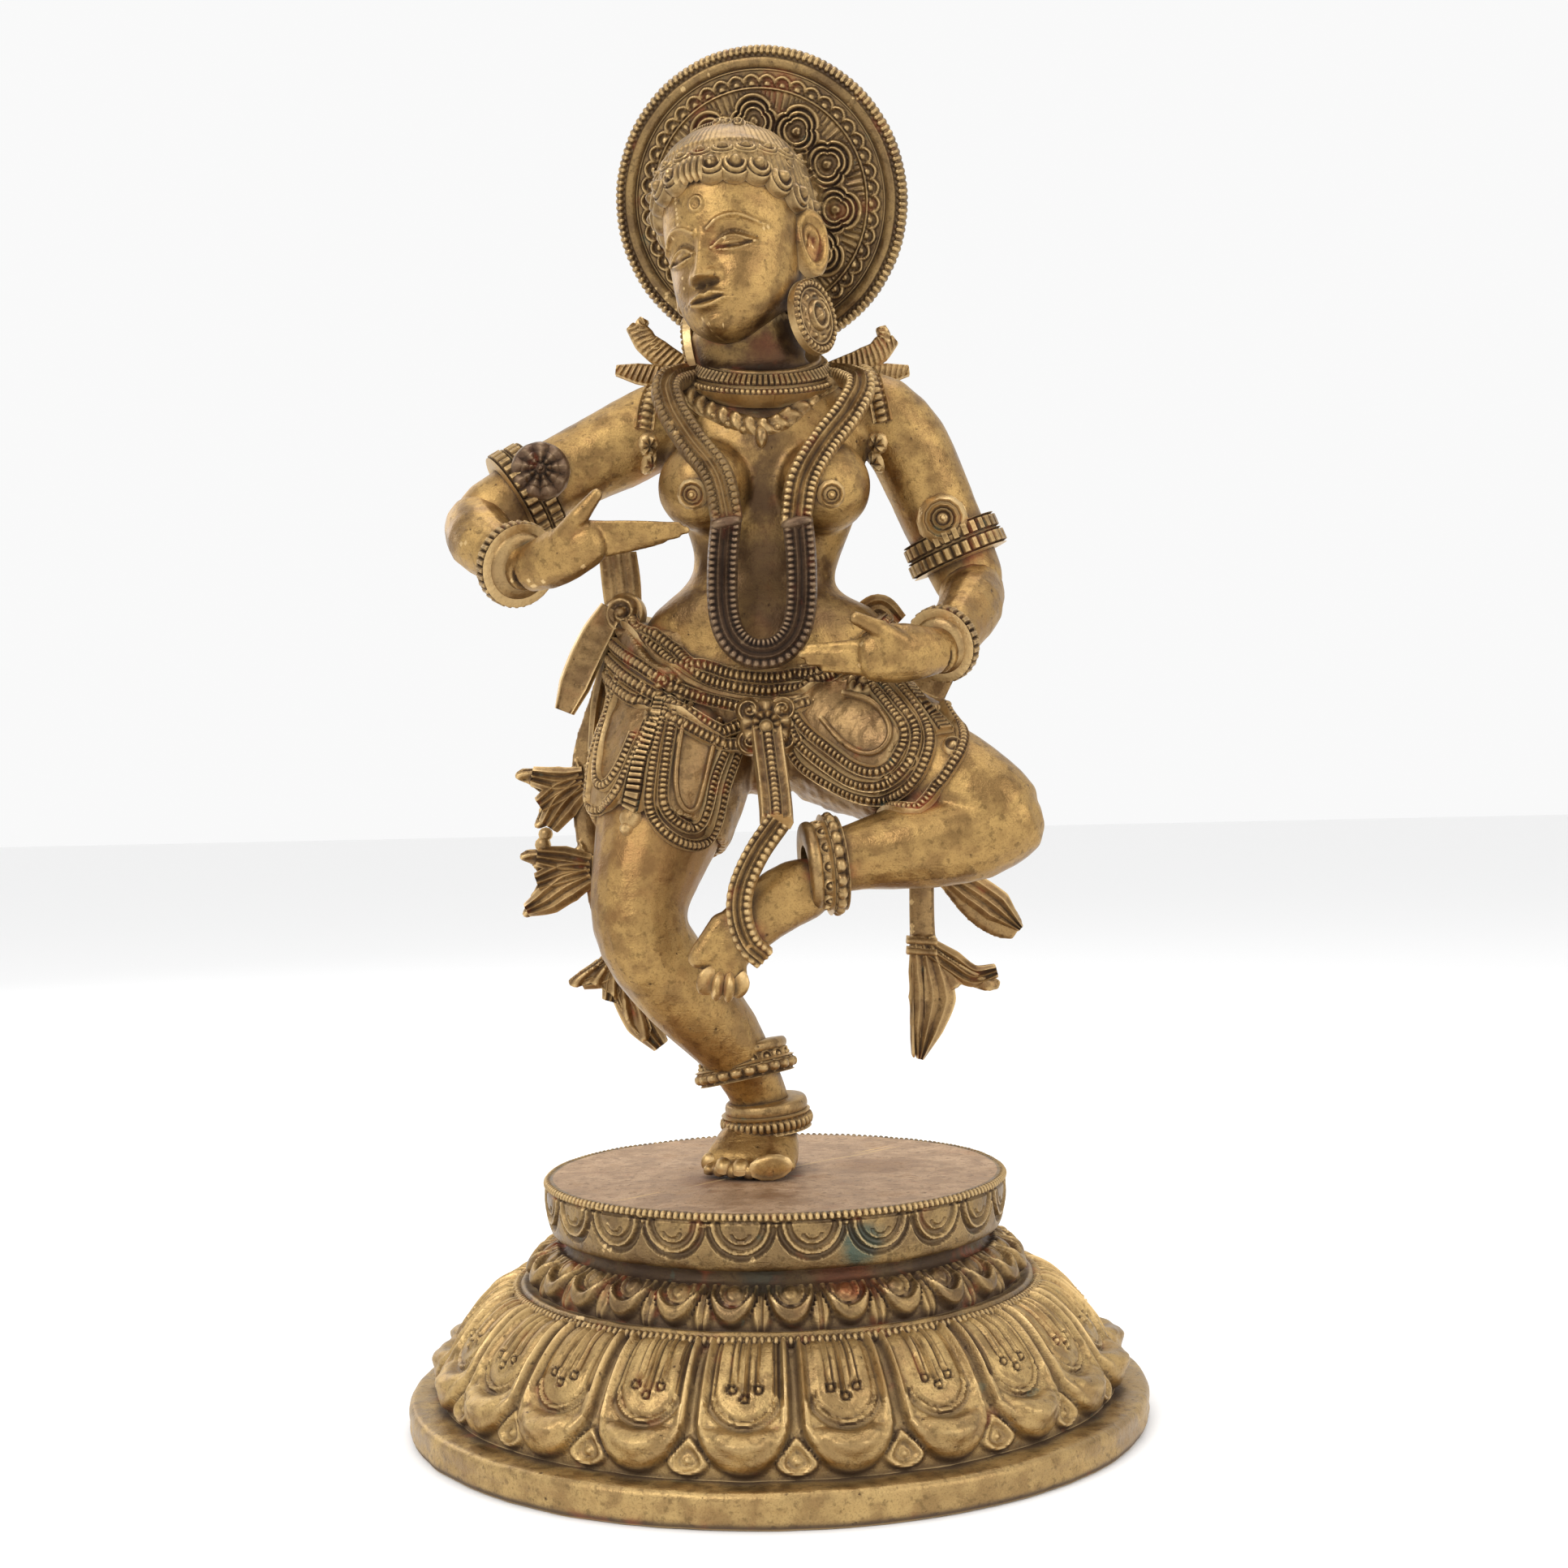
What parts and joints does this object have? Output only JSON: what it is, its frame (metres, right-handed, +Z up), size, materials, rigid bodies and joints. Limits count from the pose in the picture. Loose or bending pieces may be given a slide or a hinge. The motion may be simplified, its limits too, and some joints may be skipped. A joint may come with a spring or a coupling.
{
  "type": "standing dancer statue",
  "caption": "Cast brass dancing figure with a round halo, balanced on one leg on a round double lotus base.",
  "frame": {"origin": "centre of the foot plate's underside, on the ground", "axes": "+Z up, the figure's front faces -Y, its right side is on the -X side"},
  "size_m": [0.1626, 0.1626, 0.3082],
  "materials": {
    "figure_brass": "satin, worn bright on the high places, brown in the hollows",
    "base_brass": "satin, pitted, brown in the hollows with a few green spots",
    "halo_brass": "satin with dark brown recesses",
    "hair_brass": "dull brown patina, bright on the raised curls",
    "ornament_brass": "satin beads in brown recesses",
    "cloth_brass": "dull brown patina, worn bright on the beads",
    "dark_repair_brass": "dull dark brown",
    "fixing_steel": "dull"
  },
  "bodies": {
    "root": {"foot_plate": "base_brass", "lower_lotus": "base_brass", "lotus_bead_ring": "base_brass", "upper_lotus": "base_brass", "plinth_disc": "base_brass", "plinth_bead_rim": "base_brass", "foot_tenon": "base_brass", "clamp_washer": "fixing_steel", "clamp_nut": "fixing_steel", "halo_disc": "halo_brass", "halo_rim": "halo_brass", "halo_bracket": "halo_brass", "halo_pin": "halo_brass", "head": "figure_brass", "hair_cap": "hair_brass", "hair_bun": "hair_brass", "crown_knob": "hair_brass", "earring_right": "ornament_brass", "earring_left": "ornament_brass", "torso": "figure_brass", "hips": "figure_brass", "upper_arm_right": "figure_brass", "forearm_right": "figure_brass", "hand_right": "figure_brass", "upper_arm_left": "figure_brass", "forearm_left": "figure_brass", "hand_left": "figure_brass", "thigh_right": "figure_brass", "shin_right": "figure_brass", "foot_right": "figure_brass", "thigh_left": "figure_brass", "shin_left": "figure_brass", "foot_left": "figure_brass", "collar": "ornament_brass", "pendant_collar": "ornament_brass", "garland_strands": "ornament_brass", "garland_loop": "dark_repair_brass", "shoulder_drops": "ornament_brass", "armlet_right": "ornament_brass", "armlet_left": "ornament_brass", "bangle_right": "ornament_brass", "bangle_left": "ornament_brass", "girdle": "ornament_brass", "belt": "ornament_brass", "belt_clasp": "ornament_brass", "skirt_right": "cloth_brass", "skirt_left": "cloth_brass", "front_sash": "ornament_brass", "anklet_right": "ornament_brass", "foot_strap_right": "ornament_brass", "anklet_left": "ornament_brass", "foot_strap_left": "ornament_brass", "sash_knot_right": "cloth_brass", "sash_loop_right": "cloth_brass", "sash_tails_right": "cloth_brass", "sash_knot_left": "cloth_brass", "sash_tails_left": "cloth_brass", "neck_ribbon_right": "cloth_brass", "neck_ribbon_left": "cloth_brass"}
  },
  "joints": []
}
